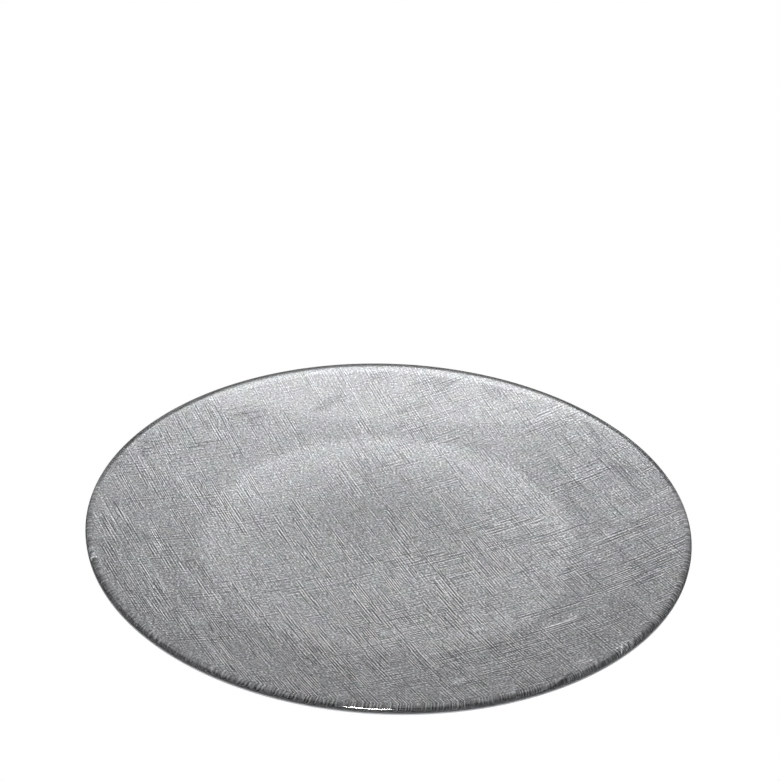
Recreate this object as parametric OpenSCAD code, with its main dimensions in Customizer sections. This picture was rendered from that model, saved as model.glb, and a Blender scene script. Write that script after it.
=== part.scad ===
// Round charger plate of pressed clear glass, finished on its underside.
// A silver lacquer covers the underside and shows through the glass.
// A grey backing lacquer seals the silver and is what touches the table.
//
// Sizes are in millimetres. The plate stands on Z = 0, and Z is its axis.
// The glass has one thickness everywhere. It follows a middle line from the
// floor of the well to the centre of the rounded edge.

/* [Plate] */
// Overall diameter, over the rounded edge
plate_d = 330; // [300:1:360]
// Height of the rim's highest point above the table
plate_h = 22; // [18:0.5:30]
// Thickness of the glass, and so the diameter of its rounded edge
glass_t = 5; // [4:0.1:6.5]

/* [Well] */
// Diameter of the circle where the well meets the rim
well_d = 202; // [185:1:220]
// Diameter of the level floor in the middle, which the plate also stands on
floor_d = 72; // [40:1:100]
// Height that the glass gains between the floor and the edge of the well
well_rise = 4.6; // [3:0.1:6]

/* [Finish] */
// Thickness of the silver lacquer
silver_t = 0.3; // [0.1:0.05:0.5]
// Thickness of the backing lacquer
backing_t = 0.3; // [0.1:0.05:0.5]
// How far the silver turns up round the edge, in degrees of its rounding
silver_turn = 29; // [10:1:30]
// How far the backing turns up past the silver, in degrees of the rounding
backing_lip_turn = 5; // [4:1:8]

/* [Smoothness] */
// Steps in each curve of the section
curve_steps = 24; // [12:1:36]
// Steps in a quarter of the rounded edge
edge_steps = 12; // [6:1:16]
// Fragments round the plate
$fn = 180; // [90:10:240]

/* [Hidden] */

edge_r = glass_t / 2;
finish_t = silver_t + backing_t;

// Radii of the places where the section changes
floor_r = floor_d / 2;
well_r = well_d / 2;
edge_centre_r = plate_d / 2 - edge_r;

// Heights of the middle line at those places
floor_z = finish_t + edge_r;
well_z = floor_z + well_rise;
edge_centre_z = plate_h - edge_r;

// The well is a parabola that starts level, and the rim goes on at its slope.
well_run = well_r - floor_r;
rim_run = edge_centre_r - well_r;
well_slope = 2 * well_rise / well_run;
rim_bend = edge_centre_z - well_z - well_slope * rim_run;
edge_slope = well_slope + 2 * rim_bend / rim_run;
edge_tilt = atan(edge_slope);

// Every point of the section is [radius, height, slope], and faces up or down.
function well_point(share) = [
    floor_r + share * well_run,
    floor_z + well_rise * pow(share, 2),
    well_slope * share
];

function rim_point(share) = [
    well_r + share * rim_run,
    well_z + well_slope * share * rim_run + rim_bend * pow(share, 2),
    well_slope + (edge_slope - well_slope) * share
];

// The point moved square to its slope, upwards where the distance is positive
function raised(point, distance) =
    let (tilt = atan(point[2]))
    [point[0] - distance * sin(tilt), point[1] + distance * cos(tilt), point[2]];

function shares(steps) = [for (i = [1 : steps]) i / steps];

// The point of the rounded edge that looks out at an angle above the level
function edge_point(angle, lift = 0) = [
    edge_centre_r + (edge_r + lift) * cos(angle),
    edge_centre_z + (edge_r + lift) * sin(angle)
];

// A face on one side of the middle line, from the axis out to the rounded edge
function face_line(distance) = [
    [0, floor_z + distance, 0],
    for (share = concat(0, shares(curve_steps))) raised(well_point(share), distance),
    for (share = shares(curve_steps)) raised(rim_point(share), distance)
];

upper_side = face_line(edge_r);
under_side = face_line(-edge_r);

// The rounding runs from the underside up to the upper surface.
under_angle = edge_tilt - 90;
edge_round = [
    for (i = [1 : 2 * edge_steps - 1]) edge_point(under_angle + 180 * i / (2 * edge_steps))
];

function flat(points) = [for (p = points) [p[0], p[1]]];
function reversed(points) = [for (i = [len(points) - 1 : -1 : 0]) points[i]];

// The line that lies a depth below the glass, from one turn of the rounding to another
function turned_line(depth, from_turn, to_turn) = [
    for (i = [0 : edge_steps])
        edge_point(under_angle + from_turn + (to_turn - from_turn) * i / edge_steps, depth)
];

// The line that lies a depth below the glass, from the axis to a turn of the rounding
function film_line(depth, turn) = [
    for (p = under_side) each flat([raised(p, -depth)]),
    for (i = [1 : edge_steps]) edge_point(under_angle + turn * i / edge_steps, depth)
];

// Pressed glass: the level floor, the dished well, the wide rim and the rounded edge
module glass_body() {
    color([0.82, 0.87, 0.89, 0.35])
        rotate_extrude()
            polygon(concat(flat(under_side), edge_round, reversed(flat(upper_side))));
}

// Silver lacquer on the glass, from the axis to just round the edge
module silver_coat() {
    color([0.66, 0.67, 0.68])
        rotate_extrude()
            polygon(concat(
                film_line(silver_t, silver_turn),
                reversed(film_line(0, silver_turn))
            ));
}

// Backing lacquer over the silver, with a lip that meets the glass past the silver's end
module backing_coat() {
    lip_turn = silver_turn + backing_lip_turn;
    color([0.45, 0.46, 0.47])
        rotate_extrude()
            polygon(concat(
                film_line(finish_t, lip_turn),
                reversed(turned_line(0, silver_turn, lip_turn)),
                reversed(film_line(silver_t, silver_turn))
            ));
}

glass_body();
silver_coat();
backing_coat();
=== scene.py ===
# Round charger plate of pressed clear glass with a linen relief, silvered underneath.

import math

import bmesh
import bpy
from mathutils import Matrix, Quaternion, Vector


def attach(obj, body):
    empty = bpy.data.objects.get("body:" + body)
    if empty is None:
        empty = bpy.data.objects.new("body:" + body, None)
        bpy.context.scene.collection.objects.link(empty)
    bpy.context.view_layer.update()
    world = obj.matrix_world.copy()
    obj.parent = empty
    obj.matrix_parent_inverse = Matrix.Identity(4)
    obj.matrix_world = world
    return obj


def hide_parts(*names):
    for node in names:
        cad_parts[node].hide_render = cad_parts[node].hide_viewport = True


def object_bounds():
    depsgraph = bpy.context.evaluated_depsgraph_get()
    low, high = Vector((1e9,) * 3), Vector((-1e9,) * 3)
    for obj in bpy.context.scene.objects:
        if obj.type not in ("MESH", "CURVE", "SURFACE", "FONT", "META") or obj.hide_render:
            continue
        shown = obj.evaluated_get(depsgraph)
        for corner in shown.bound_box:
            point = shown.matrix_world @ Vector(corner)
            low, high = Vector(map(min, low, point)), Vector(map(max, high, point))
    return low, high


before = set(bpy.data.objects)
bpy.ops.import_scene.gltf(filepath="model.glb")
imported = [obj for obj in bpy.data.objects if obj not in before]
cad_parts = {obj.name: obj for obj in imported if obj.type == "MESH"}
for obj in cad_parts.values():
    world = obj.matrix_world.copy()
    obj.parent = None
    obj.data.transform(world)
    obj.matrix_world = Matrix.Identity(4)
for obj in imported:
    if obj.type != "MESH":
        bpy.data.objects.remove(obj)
cad_low, cad_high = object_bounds()

MM = 0.001

# Sizes of the plate, which its solids share
plate_r = cad_high.x
plate_h = cad_high.z
glass_t = 5 * MM
well_r = 101 * MM
floor_r = 36 * MM
well_rise = 4.6 * MM
silver_t = 0.3 * MM
backing_t = 0.3 * MM
silver_turn = math.radians(29)
backing_turn = math.radians(34)

# The silver is pressed this far into the glass, so that no air lies between them
wetting = 0.05 * MM

# How finely the round pieces are cut
turn_steps = 360
curve_steps = 24
edge_steps = 20

# Directions of the two families of strokes, from the plate's X axis
main_direction = math.radians(116)
cross_direction = math.radians(26)

# Ridges of the relief: what both families share, and what each has of its own
shared_ridges = {
    "Most in a bundle": 5,
    "Half width": 0.4 * MM,
    "Height": 0.02 * MM,
    "Step": 3.5 * MM,
}
main_ridges = {
    "Direction": main_direction,
    "Wander": math.radians(1.0),
    "Bundles per square metre": 1200.0,
    "Pitch": 1.65 * MM,
    "Faintest": 0.5,
    "Shortest": 10 * MM,
    "Longest": 50 * MM,
    "Seed": 11,
}
cross_ridges = {
    "Direction": cross_direction,
    "Wander": math.radians(1.5),
    "Bundles per square metre": 700.0,
    "Pitch": 1.8 * MM,
    "Faintest": 0.4,
    "Shortest": 8 * MM,
    "Longest": 30 * MM,
    "Seed": 29,
}

# How far chance moves a ridge across its bundle, in pitches, and along it, in its own lengths
across_play = 0.3
along_play = 0.35

# A ridge thins out as a power of a bell, down to a least share of its size at the tips
taper = 0.4
tip = 0.06

# The ridges' lines drop on the silver from this height
drop_height = 1.0

# Finer strokes of the relief, painted into the silver's colour as its light and shade: pitch, length,
# share of the bundles that show, where more than 1 leaves none out, and contrast in stops
main_pitch = 1.4 * MM
main_length = 32 * MM
main_share = 1.3
main_contrast = 2.1
cross_pitch = 2.0 * MM
cross_length = 34 * MM
cross_share = 1.0
cross_contrast = 1.0

# A bundle's width in pitches, how far its own pitch differs, and where its strokes fade and end
bundle_lines = 4.5
pitch_spread = 0.15
bundle_core = 0.45
bundle_end = 0.9

# How far a stroke wanders and over what width that changes, in pitches, and how far the waves of
# painted light and shade lean to the shade
uneven = 0.4
uneven_width = 2
shade_lean = 0.2

# A stroke breaks up into dashes: their length in strokes, their width in pitches, the chance below
# which there is none and above which it is whole, and what stays between them
dash_length = 0.4
dash_width = 0.9
dash_none = 0.38
dash_whole = 0.58
dash_least = 0.1

# Smooth chance seldom strays further than this from its middle
chance_spread = 0.25

# Loose strokes between the bundles, in patches whose length is in strokes and width in pitches
loose_length = 10 * MM
loose_width = 0.55 * MM
main_loose_contrast = 0.28
cross_loose_contrast = 0.7 * main_loose_contrast
patch_length = 1.5
patch_width = 4
patch_none = 0.4
patch_whole = 0.6
patch_least = 0.35

# Painted light: the strokes' light and shade are stronger in front than behind, and the grain
# follows half of that
front_y = -100 * MM
back_y = 150 * MM
front_shading = 1.2
back_shading = 0.5
grain_follows = 0.5

# Painted light: to the right the main strokes' light and shade grow fainter, and the cross
# strokes' stronger
main_fade_start = 20 * MM
main_fade_end = 120 * MM
main_right_shading = 0.55
cross_rise_start = -60 * MM
cross_rise_end = 120 * MM
cross_left_shading = 0.7
cross_right_shading = 1.9

# The strokes' painted light and shade fade on the rounded edge, and sooner on the left, where the
# main ones run along it
side_start = 95 * MM
side_end = 140 * MM
side_shading = 0.25
side_fade_start = 155 * MM
side_fade_end = 160 * MM
round_fade_start = 161 * MM
round_fade_end = 163 * MM
round_shading = 0.4

# Grain and tint of the silver
grain_size = 1.15 * MM
grain_contrast = 1.35
tint_size = 11 * MM
tint_depth = 0.09

# The silver's tone rises up the well as painted light on its slope, steps down at the rim, and
# drops again on the rounded edge as painted shade
rise_start = 40 * MM
rise_end = 112 * MM
well_light_tone = 1.30
rim_start = 98 * MM
rim_end = 108 * MM
rim_tone = 0.75
edge_start = 160 * MM
edge_end = 163.5 * MM
edge_shade_tone = 0.84

# Colours and finishes
glass_colour = (0.985, 0.99, 0.99, 1)
glass_roughness = 0.065
glass_ior = 1.5
silver_colour = (0.43, 0.434, 0.446)
silver_roughness = 0.34
backing_colour = (0.17, 0.175, 0.18)
backing_roughness = 0.55
cloud_size = 25 * MM
cloud_depth = 0.15

# Floor and room: the floor's half width, how far it lies under the plate, and how pale they are
floor_half = 6.0
floor_drop = 0.05 * MM
floor_shade = 0.08
room_brightness = 0.5
seen_brightness = 1.0

# Soft boxes: a wide one overhead, and a small bright one low in front
overhead_x = -0.42
overhead_z = 1.6
overhead_side = 2.8
overhead_brightness = 1.82
front_azimuth = math.radians(184.5)
front_elevation = math.radians(13)
front_distance = 1.5
front_width = 0.38
front_height = 0.5
front_brightness = 60

# Camera: its place above the rim's middle, how far it looks past that, and its roll and lens
camera_elevation = math.radians(34.526)
camera_lift = math.radians(2.753)
camera_swing = math.radians(-0.109)
camera_roll = math.radians(2.244)
camera_distance = 1.5
camera_lens = 126.43
camera_sensor = 36

# Radii, heights and slopes that follow from the plate's sizes
edge_r = glass_t / 2
finish_t = silver_t + backing_t
edge_centre_r = plate_r - edge_r
edge_centre_z = plate_h - edge_r
floor_z = finish_t + edge_r
well_z = floor_z + well_rise
well_run = well_r - floor_r
rim_run = edge_centre_r - well_r
well_slope = 2 * well_rise / well_run
rim_bend = edge_centre_z - well_z - well_slope * rim_run
edge_slope = well_slope + 2 * rim_bend / rim_run
under_angle = math.atan(edge_slope) - math.pi / 2


# The plate's section

def middle_point(place):
    """Radius, height and slope of the glass's middle line.

    The place is 0 to 1 in the well and 1 to 2 on the rim.
    """
    if place <= 1:
        return floor_r + place * well_run, floor_z + well_rise * place**2, well_slope * place
    share = place - 1
    return (
        well_r + share * rim_run,
        well_z + well_slope * share * rim_run + rim_bend * share**2,
        well_slope + (edge_slope - well_slope) * share,
    )


def face_line(distance):
    """The line that runs a distance above the middle line, from the axis to the rounded edge."""
    line = [(0.0, floor_z + distance)]
    for i in range(2 * curve_steps + 1):
        radius, height, slope = middle_point(i / curve_steps)
        tilt = math.atan(slope)
        line.append((radius - distance * math.sin(tilt), height + distance * math.cos(tilt)))
    return line


def edge_line(lift, start, end, steps):
    """The line that runs a lift outside the rounded edge, between two turns of the rounding."""
    line = []
    for i in range(steps + 1):
        angle = under_angle + start + (end - start) * i / steps
        reach = edge_r + lift
        line.append((edge_centre_r + reach * math.cos(angle), edge_centre_z + reach * math.sin(angle)))
    return line


def film_line(front_back_shading, turn):
    """The line that runs a depth below the glass, from the axis to a turn of the rounding."""
    return face_line(-edge_r - front_back_shading) + edge_line(front_back_shading, 0, turn, edge_steps)[1:]


def between(under, over):
    """The section between two lines that both start on the axis."""
    return under + list(reversed(over))


# Round pieces

def lathe(name, section, material):
    """A closed mesh turned about Z from a section that starts and ends on the axis."""
    bm = bmesh.new()
    rings = []
    for radius, height in section:
        if radius == 0:
            rings.append([bm.verts.new((0, 0, height))])
            continue
        ring = []
        for i in range(turn_steps):
            angle = 2 * math.pi * i / turn_steps
            ring.append(bm.verts.new((radius * math.cos(angle), radius * math.sin(angle), height)))
        rings.append(ring)
    for inner, outer in zip(rings, rings[1:]):
        for i in range(turn_steps):
            j = (i + 1) % turn_steps
            corners = [
                inner[i % len(inner)],
                inner[j % len(inner)],
                outer[j % len(outer)],
                outer[i % len(outer)],
            ]
            bm.faces.new(list(dict.fromkeys(corners)))
    bmesh.ops.recalc_face_normals(bm, faces=bm.faces)
    mesh = bpy.data.meshes.new(name)
    bm.to_mesh(mesh)
    bm.free()
    for polygon in mesh.polygons:
        polygon.use_smooth = True
    mesh.materials.append(material)
    piece = bpy.data.objects.new(name, mesh)
    bpy.context.scene.collection.objects.link(piece)
    return piece


# Node trees

class NodeTree:
    """A node tree that is written one node at a time."""

    def __init__(self, tree):
        self.tree = tree

    def add(self, kind, inputs=None, **settings):
        """A new node, whose inputs are given as values, sockets or other nodes."""
        node = self.tree.nodes.new(kind)
        for key, value in settings.items():
            setattr(node, key, value)
        for key, value in (inputs or {}).items():
            self.feed(node.inputs[key], value)
        return node

    def feed(self, socket, value):
        """Gives one input its value, or links it to a socket or a node's first output."""
        if isinstance(value, bpy.types.NodeSocket):
            self.tree.links.new(value, socket)
        elif isinstance(value, bpy.types.Node):
            self.tree.links.new(value.outputs[0], socket)
        else:
            socket.default_value = value

    def math(self, operation, *values):
        """The result of one step of arithmetic."""
        node = self.add("ShaderNodeMath", operation=operation)
        for socket, value in zip(node.inputs, values):
            self.feed(socket, value)
        return node

    def total(self, first, *others):
        """All the values added together."""
        for value in others:
            first = self.math("ADD", first, value)
        return first

    def product(self, first, *others):
        """All the values multiplied together."""
        for value in others:
            first = self.math("MULTIPLY", first, value)
        return first


# Ridges of the relief, laid on the silver by Geometry Nodes

def by_chance(nodes, given, low, high, draw):
    """A value between low and high by chance: each draw has a number, which moves the seed."""
    # A random float's least and most are the inputs 2 and 3, and it comes from the output 1
    seed = nodes.total(given["Seed"], draw)
    node = nodes.add("FunctionNodeRandomValue", {2: low, 3: high, "Seed": seed}, data_type="FLOAT")
    return node.outputs[1]


def bundle_points(nodes, given):
    """Points spread over the face by chance, each repeated once for every stroke of its bundle."""
    scattered = nodes.add(
        "GeometryNodeDistributePointsOnFaces",
        {
            "Mesh": given["Geometry"],
            "Density": given["Bundles per square metre"],
            "Seed": given["Seed"],
        },
        distribute_method="RANDOM",
    )
    count = nodes.add(
        "FunctionNodeRandomValue",
        {"Min": 1, "Max": given["Most in a bundle"], "Seed": given["Seed"]},
        data_type="INT",
    )
    bundles = nodes.add(
        "GeometryNodeStoreNamedAttribute",
        {
            "Geometry": scattered.outputs["Points"],
            "Name": "strength",
            "Value": by_chance(nodes, given, given["Faintest"], 1.0, draw=5),
        },
        data_type="FLOAT",
        domain="POINT",
    )

    # A random whole number comes from the output 2
    return nodes.add(
        "GeometryNodeDuplicateElements",
        {"Geometry": bundles, "Amount": count.outputs[2]},
        domain="POINT",
    )


def level_lines(nodes, given, points):
    """Straight lines at the points, moved across their bundle by number and along it by chance."""
    shifted = by_chance(nodes, given, -across_play, across_play, draw=1)
    number = nodes.total(points.outputs["Duplicate Index"], shifted)
    across = nodes.product(number, given["Pitch"])
    length = by_chance(nodes, given, given["Shortest"], given["Longest"], draw=2)
    along = nodes.product(length, by_chance(nodes, given, -along_play, along_play, draw=3))
    turn = nodes.product(by_chance(nodes, given, -1.0, 1.0, draw=4), given["Wander"])
    offset = nodes.add(
        "ShaderNodeVectorRotate",
        {
            "Vector": nodes.add("ShaderNodeCombineXYZ", {"X": along, "Y": across}),
            "Rotation": nodes.add("ShaderNodeCombineXYZ", {"Z": given["Direction"]}),
        },
        rotation_type="EULER_XYZ",
    )
    placed = nodes.add(
        "GeometryNodeSetPosition", {"Geometry": points.outputs["Geometry"], "Offset": offset}
    )
    unit_line = nodes.add("GeometryNodeCurvePrimitiveLine", {"Start": (-0.5, 0, 0), "End": (0.5, 0, 0)})
    heading = nodes.total(given["Direction"], turn)
    laid = nodes.add(
        "GeometryNodeInstanceOnPoints",
        {
            "Points": placed,
            "Instance": unit_line,
            "Rotation": nodes.add("ShaderNodeCombineXYZ", {"Z": heading}),
            "Scale": nodes.add("ShaderNodeCombineXYZ", {"X": length, "Y": 1.0, "Z": 1.0}),
        },
    )
    lines = nodes.add("GeometryNodeRealizeInstances", {"Geometry": laid})
    return nodes.add(
        "GeometryNodeResampleCurve", {"Curve": lines, "Length": given["Step"]}, mode="LENGTH"
    )


def dropped_lines(nodes, given, lines):
    """The lines dropped straight down on the face, without their points past its edge."""
    place = nodes.add("ShaderNodeSeparateXYZ", {"Vector": nodes.add("GeometryNodeInputPosition")})
    above = nodes.add(
        "ShaderNodeCombineXYZ", {"X": place.outputs["X"], "Y": place.outputs["Y"], "Z": drop_height}
    )
    drop = nodes.add(
        "GeometryNodeRaycast",
        {
            "Target Geometry": given["Geometry"],
            "Source Position": above,
            "Ray Direction": (0, 0, -1),
            "Ray Length": 2 * drop_height,
        },
        data_type="FLOAT",
    )
    missed = nodes.add("FunctionNodeBooleanMath", {0: drop.outputs["Is Hit"]}, operation="NOT")
    trimmed = nodes.add(
        "GeometryNodeDeleteGeometry", {"Geometry": lines, "Selection": missed}, domain="POINT"
    )

    # A line that has one point left has no length, and goes too: whole numbers are compared at the
    # inputs 2 and 3
    left = nodes.add("GeometryNodeSplineLength").outputs["Point Count"]
    lone = nodes.add("FunctionNodeCompare", {2: left, 3: 2}, data_type="INT", operation="LESS_THAN")
    kept = nodes.add(
        "GeometryNodeDeleteGeometry", {"Geometry": trimmed, "Selection": lone}, domain="CURVE"
    )
    hit = drop.outputs["Hit Position"]
    return nodes.add("GeometryNodeSetPosition", {"Geometry": kept, "Position": hit})


def low_ridges(nodes, given, lines):
    """Ridges of three sides on the lines, crest upwards, that thin out towards both ends."""
    upright = nodes.add("GeometryNodeSetCurveNormal", {"Curve": lines}, mode="Z_UP")
    factor = nodes.add("GeometryNodeSplineParameter").outputs["Factor"]
    bell = nodes.product(factor, nodes.math("SUBTRACT", 1.0, factor), 4.0)
    thin = nodes.math("MAXIMUM", nodes.math("POWER", bell, taper), tip)
    strength = nodes.add("GeometryNodeInputNamedAttribute", {"Name": "strength"}, data_type="FLOAT")

    # A third of the triangle stands in the face, so the named width and height are what shows
    triangle = nodes.add(
        "GeometryNodeCurvePrimitiveCircle", {"Resolution": 3, "Radius": 1.0}, mode="RADIUS"
    )
    crest_up = nodes.add(
        "GeometryNodeTransform", {"Geometry": triangle, "Rotation": (0, 0, -math.pi / 2)}
    )
    reach = nodes.product(given["Half width"], math.sqrt(3))
    size = nodes.add("ShaderNodeCombineXYZ", {"X": reach, "Y": given["Height"], "Z": 1.0})
    profile = nodes.add("GeometryNodeTransform", {"Geometry": crest_up, "Scale": size})
    solid = nodes.add(
        "GeometryNodeCurveToMesh",
        {
            "Curve": upright,
            "Profile Curve": profile,
            "Scale": nodes.product(thin, strength.outputs[0]),
            "Fill Caps": True,
        },
    )
    return nodes.add("GeometryNodeSetShadeSmooth", {"Geometry": solid, "Shade Smooth": False})


def ridge_tree():
    """The tree that lays strokes in bundles on the face that it is given.

    The strokes of a bundle lie side by side, one pitch apart, and differ in length and place.
    """
    group = bpy.data.node_groups.new("pressed strokes", "GeometryNodeTree")
    sockets = group.interface
    sockets.new_socket("Geometry", in_out="INPUT", socket_type="NodeSocketGeometry")
    for label, kind in (
        ("Direction", "NodeSocketFloat"),
        ("Wander", "NodeSocketFloat"),
        ("Bundles per square metre", "NodeSocketFloat"),
        ("Most in a bundle", "NodeSocketInt"),
        ("Pitch", "NodeSocketFloat"),
        ("Faintest", "NodeSocketFloat"),
        ("Shortest", "NodeSocketFloat"),
        ("Longest", "NodeSocketFloat"),
        ("Half width", "NodeSocketFloat"),
        ("Height", "NodeSocketFloat"),
        ("Step", "NodeSocketFloat"),
        ("Seed", "NodeSocketInt"),
        ("Material", "NodeSocketMaterial"),
    ):
        sockets.new_socket(label, in_out="INPUT", socket_type=kind)
    sockets.new_socket("Geometry", in_out="OUTPUT", socket_type="NodeSocketGeometry")
    nodes = NodeTree(group)
    given = nodes.add("NodeGroupInput").outputs
    points = bundle_points(nodes, given)
    lines = dropped_lines(nodes, given, level_lines(nodes, given, points))
    whole = nodes.add("GeometryNodeRealizeInstances", {"Geometry": low_ridges(nodes, given, lines)})
    painted = nodes.add("GeometryNodeSetMaterial", {"Geometry": whole, "Material": given["Material"]})
    nodes.add("NodeGroupOutput", {"Geometry": painted})
    return group


def lay_ridges(name, tree, film, sizes):
    """A plain mesh of ridges on a copy of a film, in the film's own finish."""
    bed = bpy.data.objects.new(name + "_bed", film.data.copy())
    bpy.context.scene.collection.objects.link(bed)
    modifier = bed.modifiers.new("strokes", "NODES")
    modifier.node_group = tree
    settings = {**shared_ridges, **sizes, "Material": film.data.materials[0]}
    for item in tree.interface.items_tree:
        if item.in_out == "INPUT" and item.name in settings:
            modifier[item.identifier] = settings[item.name]
    evaluated = bed.evaluated_get(bpy.context.evaluated_depsgraph_get())
    mesh = bpy.data.meshes.new_from_object(evaluated)
    mesh.name = name
    piece = bpy.data.objects.new(name, mesh)
    bpy.context.scene.collection.objects.link(piece)
    bpy.data.objects.remove(bed)
    return piece


# Tools for finishes

def shader(name):
    """A material and its node tree, with only the output in it."""
    material = bpy.data.materials.new(name)
    material.use_nodes = True
    material.node_tree.nodes.clear()
    nodes = NodeTree(material.node_tree)
    return material, nodes, nodes.add("ShaderNodeOutputMaterial")


def along_strokes(nodes, direction, length, width):
    """Object coordinates with X along the strokes, and one unit for each length and width."""
    place = nodes.add("ShaderNodeTexCoord").outputs["Object"]
    turned = nodes.add(
        "ShaderNodeVectorRotate", {"Vector": place, "Angle": -direction}, rotation_type="Z_AXIS"
    )
    return nodes.add(
        "ShaderNodeVectorMath", {0: turned, 1: (1 / length, 1 / width, 0)}, operation="MULTIPLY"
    )


def chance(nodes, direction, length, width):
    """Smooth chance from 0 to 1 that changes over a length along the strokes and a width across."""
    place = along_strokes(nodes, direction, length, width)
    return nodes.add(
        "ShaderNodeTexNoise", {"Vector": place, "Scale": 1.0, "Detail": 0.0}, noise_dimensions="2D"
    )


def ramp(nodes, value, start, end, low, high):
    """The value's way from start to end, as a smooth way from low to high."""
    return nodes.add(
        "ShaderNodeMapRange",
        {"Value": value, "From Min": start, "From Max": end, "To Min": low, "To Max": high},
        interpolation_type="SMOOTHSTEP",
    )


# Clear glass

def clear_glass():
    """Fire-polished clear glass."""
    material, nodes, output = shader("clear glass")
    glass = nodes.add(
        "ShaderNodeBsdfPrincipled",
        {
            "Base Color": glass_colour,
            "Roughness": glass_roughness,
            "IOR": glass_ior,
            "Transmission Weight": 1.0,
        },
    )
    nodes.feed(output.inputs["Surface"], glass)
    return material


# Silver lacquer

def bundled_strokes(nodes, direction, pitch, length, share, contrast):
    """Painted light and shade of the relief, as lines about one pitch apart, with bare silver between.
    """
    place = along_strokes(nodes, direction, length, bundle_lines * pitch)
    bundle = nodes.add("ShaderNodeTexVoronoi", {"Vector": place, "Scale": 1.0}, voronoi_dimensions="2D")
    pick = nodes.add("ShaderNodeSeparateXYZ", {"Vector": bundle.outputs["Color"]})
    place = along_strokes(nodes, direction, 1.0, pitch)
    across = nodes.add("ShaderNodeSeparateXYZ", {"Vector": place}).outputs["Y"]
    spacing = ramp(nodes, pick.outputs["Z"], 0.0, 1.0, 1 - pitch_spread, 1 + pitch_spread)
    drift = nodes.product(chance(nodes, direction, length, uneven_width * pitch), uneven)
    turns = nodes.total(nodes.product(across, spacing), pick.outputs["X"], drift)
    # The waves are the painted light and shade of the relief's flanks, leaning to the shade
    wave = nodes.math("SUBTRACT", nodes.math("SINE", nodes.product(turns, 2 * math.pi)), shade_lean)
    strong = ramp(nodes, pick.outputs["Y"], 1 - share, 1.0, 0.0, 1.0)
    inside = ramp(nodes, bundle.outputs["Distance"], bundle_core, bundle_end, 1.0, 0.0)
    luck = chance(nodes, direction, dash_length * length, dash_width * pitch)
    dash = ramp(nodes, luck, dash_none, dash_whole, dash_least, 1.0)
    return nodes.product(wave, strong, inside, dash, contrast)


def loose_strokes(nodes, direction, pitch, contrast):
    """Painted light and shade as lines of uneven spacing that come and go, most under the contrast."""
    line = nodes.math("SUBTRACT", chance(nodes, direction, loose_length, loose_width), 0.5)
    luck = chance(nodes, direction, patch_length * loose_length, patch_width * pitch)
    patch = ramp(nodes, luck, patch_none, patch_whole, patch_least, 1.0)
    return nodes.product(line, patch, contrast / chance_spread)


def relief_shading_stops(nodes, x, y, level, radius):
    """Strokes of the relief as painted light and shade, and grain, as stops that lighten or darken the
    silver.
    """
    main = nodes.total(
        bundled_strokes(nodes, main_direction, main_pitch, main_length, main_share, main_contrast),
        loose_strokes(nodes, main_direction, main_pitch, main_loose_contrast),
    )
    cross = nodes.total(
        bundled_strokes(nodes, cross_direction, cross_pitch, cross_length, cross_share, cross_contrast),
        loose_strokes(nodes, cross_direction, cross_pitch, cross_loose_contrast),
    )
    # Painted light: the strokes' light and shade change from left to right and from front to back
    main_shading = ramp(nodes, x, main_fade_start, main_fade_end, 1.0, main_right_shading)
    cross_shading = ramp(nodes, x, cross_rise_start, cross_rise_end, cross_left_shading, cross_right_shading)
    front_back_shading = ramp(nodes, y, front_y, back_y, front_shading, back_shading)

    # How far a place lies beside the axis, square to the main strokes: it grows to the left
    beside = nodes.add(
        "ShaderNodeVectorMath",
        {0: level, 1: (-math.sin(main_direction), math.cos(main_direction), 0)},
        operation="DOT_PRODUCT",
    ).outputs["Value"]
    # The painted light and shade of the strokes fade on the rounded edge, sooner on the left
    left_shading = ramp(nodes, beside, side_start, side_end, 1.0, side_shading)
    side = ramp(nodes, radius, side_fade_start, side_fade_end, 1.0, left_shading)
    rounding = ramp(nodes, radius, round_fade_start, round_fade_end, 1.0, round_shading)

    both = nodes.total(nodes.product(main, main_shading), nodes.product(cross, cross_shading))
    strokes = nodes.product(both, front_back_shading, side, rounding)
    grain = nodes.add("ShaderNodeTexNoise", {"Vector": level, "Scale": 1 / grain_size, "Detail": 1.5})
    fleck = nodes.product(nodes.math("SUBTRACT", grain, 0.5), grain_contrast / chance_spread)
    grain_shading = nodes.math("MULTIPLY_ADD", front_back_shading, grain_follows, 1 - grain_follows)
    return nodes.total(strokes, nodes.product(fleck, grain_shading))


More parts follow.
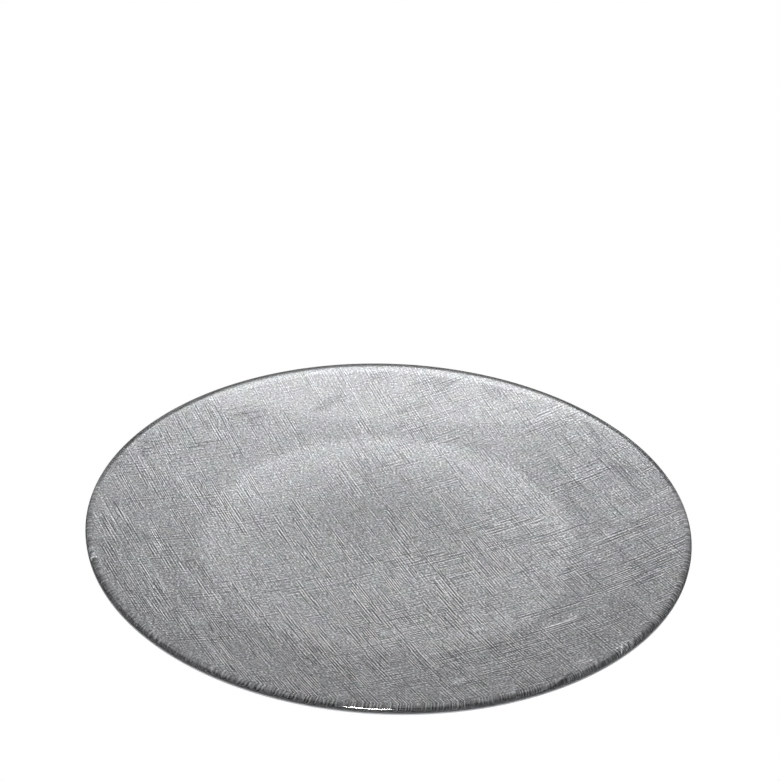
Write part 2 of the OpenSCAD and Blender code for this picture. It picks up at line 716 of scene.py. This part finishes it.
def silver_lacquer():
    """Silver lacquer seen through glass: strokes painted as light and shade, grain, faint tints, darker
    rim.
    """
    material, nodes, output = shader("silver lacquer")
    place = nodes.add("ShaderNodeTexCoord").outputs["Object"]
    apart = nodes.add("ShaderNodeSeparateXYZ", {"Vector": place})
    x = apart.outputs["X"]
    y = apart.outputs["Y"]
    level = nodes.add("ShaderNodeCombineXYZ", {"X": x, "Y": y})
    radius = nodes.add("ShaderNodeVectorMath", {0: level}, operation="LENGTH").outputs["Value"]

    # Painted light rises up the well, the tone steps down at the rim, and painted shade darkens the
    # edge
    rise = ramp(nodes, radius, rise_start, rise_end, 1.0, well_light_tone)
    fall = ramp(nodes, radius, rim_start, rim_end, 1.0, rim_tone)
    rounding = ramp(nodes, radius, edge_start, edge_end, 1.0, edge_shade_tone)
    light = nodes.math("POWER", 2.0, relief_shading_stops(nodes, x, y, level, radius))
    shade = nodes.product(rise, fall, rounding, light)

    tint = nodes.add("ShaderNodeTexNoise", {"Vector": level, "Scale": 1 / tint_size, "Detail": 1.0})
    cast = nodes.add(
        "ShaderNodeVectorMath",
        {0: tint.outputs["Color"], 1: (tint_depth,) * 3, 2: (1 - tint_depth / 2,) * 3},
        operation="MULTIPLY_ADD",
    )
    tinted = nodes.add("ShaderNodeVectorMath", {0: silver_colour, 1: cast}, operation="MULTIPLY")
    colour = nodes.add("ShaderNodeVectorMath", {0: tinted, 1: shade}, operation="MULTIPLY")
    silver = nodes.add(
        "ShaderNodeBsdfPrincipled",
        {"Base Color": colour, "Metallic": 1.0, "Roughness": silver_roughness},
    )
    nodes.feed(output.inputs["Surface"], silver)
    return material


# Backing lacquer

def backing_lacquer():
    """Matte grey lacquer, faintly clouded."""
    material, nodes, output = shader("backing lacquer")
    place = nodes.add("ShaderNodeTexCoord").outputs["Object"]
    cloud = nodes.add("ShaderNodeTexNoise", {"Vector": place, "Scale": 1 / cloud_size, "Detail": 3.0})
    shade = nodes.add(
        "ShaderNodeMapRange", {"Value": cloud, "To Min": 1 - cloud_depth, "To Max": 1 + cloud_depth}
    )
    colour = nodes.add("ShaderNodeVectorMath", {0: backing_colour, 1: shade}, operation="MULTIPLY")
    lacquer = nodes.add(
        "ShaderNodeBsdfPrincipled", {"Base Color": colour, "Roughness": backing_roughness}
    )
    nodes.feed(output.inputs["Surface"], lacquer)
    return material


# Pieces of the plate

clear = clear_glass()
silver = silver_lacquer()
backing = backing_lacquer()

glass_edge = edge_line(0, 0, math.pi, 2 * edge_steps)[1:-1]
glass_section = between(face_line(-edge_r) + glass_edge, face_line(edge_r))
glass_plate = lathe("glass_plate", glass_section, clear)

silver_under = film_line(silver_t, silver_turn)
silver_section = between(silver_under, film_line(-wetting, silver_turn))
silver_film = lathe("silver_film", silver_section, silver)

lip = edge_line(0, backing_turn, silver_turn, edge_steps)
backing_section = between(film_line(finish_t, backing_turn) + lip, silver_under)
backing_film = lathe("backing_film", backing_section, backing)

tree = ridge_tree()
main_strokes = lay_ridges("main_strokes", tree, silver_film, main_ridges)
cross_strokes = lay_ridges("cross_strokes", tree, silver_film, cross_ridges)

for piece, slot in (
    (glass_plate, "clear_glass"),
    (silver_film, "silver_lacquer"),
    (main_strokes, "silver_lacquer"),
    (cross_strokes, "silver_lacquer"),
    (backing_film, "backing_lacquer"),
):
    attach(piece, "root")
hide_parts("glass_body")
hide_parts("silver_coat")
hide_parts("backing_coat")


# Floor, light and camera

def pale_floor():
    """A table top that the camera sees white and that throws little light on the plate."""
    material, nodes, output = shader("pale floor")
    matte = nodes.add("ShaderNodeBsdfDiffuse", {"Color": (floor_shade, floor_shade, floor_shade, 1)})
    glow = nodes.add("ShaderNodeEmission", {"Color": (1, 1, 1, 1), "Strength": seen_brightness})
    seen = nodes.add("ShaderNodeLightPath").outputs["Is Camera Ray"]
    mixed = nodes.add("ShaderNodeMixShader", {0: seen, 1: matte, 2: glow})
    nodes.feed(output.inputs["Surface"], mixed)
    return material


def level_floor():
    """The floor, a square just under the plate."""
    corners = [(-1, -1), (1, -1), (1, 1), (-1, 1)]
    mesh = bpy.data.meshes.new("floor")
    mesh.from_pydata([(floor_half * x, floor_half * y, 0) for x, y in corners], [], [(0, 1, 2, 3)])
    mesh.materials.append(pale_floor())
    floor = bpy.data.objects.new("floor", mesh)
    floor.location.z = -floor_drop
    bpy.context.scene.collection.objects.link(floor)
    return floor


def softbox(name, centre, aim, width, front_back_shading, brightness):
    """A rectangular light whose face has a given brightness."""
    lamp = bpy.data.lights.new(name, "AREA")
    lamp.shape = "RECTANGLE"
    lamp.size = width
    lamp.size_y = front_back_shading
    lamp.energy = brightness * math.pi * width * front_back_shading
    light = bpy.data.objects.new(name, lamp)
    light.location = centre
    light.rotation_euler = (Vector(aim) - Vector(centre)).to_track_quat("-Z", "Y").to_euler()
    bpy.context.scene.collection.objects.link(light)


def from_plate(azimuth, elevation, distance):
    """The point that lies in a direction from the plate: azimuth 0 is behind it, 90 degrees right."""
    right = math.sin(azimuth) * math.cos(elevation)
    behind = math.cos(azimuth) * math.cos(elevation)
    return Vector((right, behind, math.sin(elevation))) * distance


def pale_room():
    """A world that the camera sees white and that lights the plate evenly."""
    world = bpy.data.worlds.new("studio")
    world.use_nodes = True
    world.node_tree.nodes.clear()
    nodes = NodeTree(world.node_tree)
    seen = nodes.add("ShaderNodeLightPath").outputs["Is Camera Ray"]
    room = nodes.add("ShaderNodeBackground", {"Color": (1, 1, 1, 1), "Strength": room_brightness})
    pale = nodes.add("ShaderNodeBackground", {"Color": (1, 1, 1, 1), "Strength": seen_brightness})
    mixed = nodes.add("ShaderNodeMixShader", {0: seen, 1: room, 2: pale})
    nodes.add("ShaderNodeOutputWorld", {"Surface": mixed})
    return world


def aimed_camera():
    """A camera that looks a little above and beside the middle of the rim, and is rolled."""
    camera = bpy.data.objects.new("camera", bpy.data.cameras.new("camera"))
    camera.data.lens = camera_lens
    camera.data.sensor_width = camera_sensor
    back = Vector((0, -math.cos(camera_elevation), math.sin(camera_elevation)))
    camera.location = Vector((0, 0, edge_centre_z)) + camera_distance * back
    fall = camera_elevation - camera_lift
    right = math.sin(camera_swing) * math.cos(fall)
    forward = math.cos(camera_swing) * math.cos(fall)
    level = Vector((right, forward, -math.sin(fall))).to_track_quat("-Z", "Y")
    camera.rotation_mode = "QUATERNION"
    camera.rotation_quaternion = level @ Quaternion((0, 0, 1), camera_roll)
    bpy.context.scene.collection.objects.link(camera)
    return camera


level_floor()
overhead_centre = (overhead_x, 0, overhead_z)
overhead_aim = (overhead_x, 0, 0)
softbox("overhead", overhead_centre, overhead_aim, overhead_side, overhead_side, overhead_brightness)
front_centre = from_plate(front_azimuth, front_elevation, front_distance)
softbox("front", front_centre, (0, 0, 0), front_width, front_height, front_brightness)
bpy.context.scene.world = pale_room()
bpy.context.scene.camera = aimed_camera()
bpy.context.scene.view_settings.view_transform = "Standard"
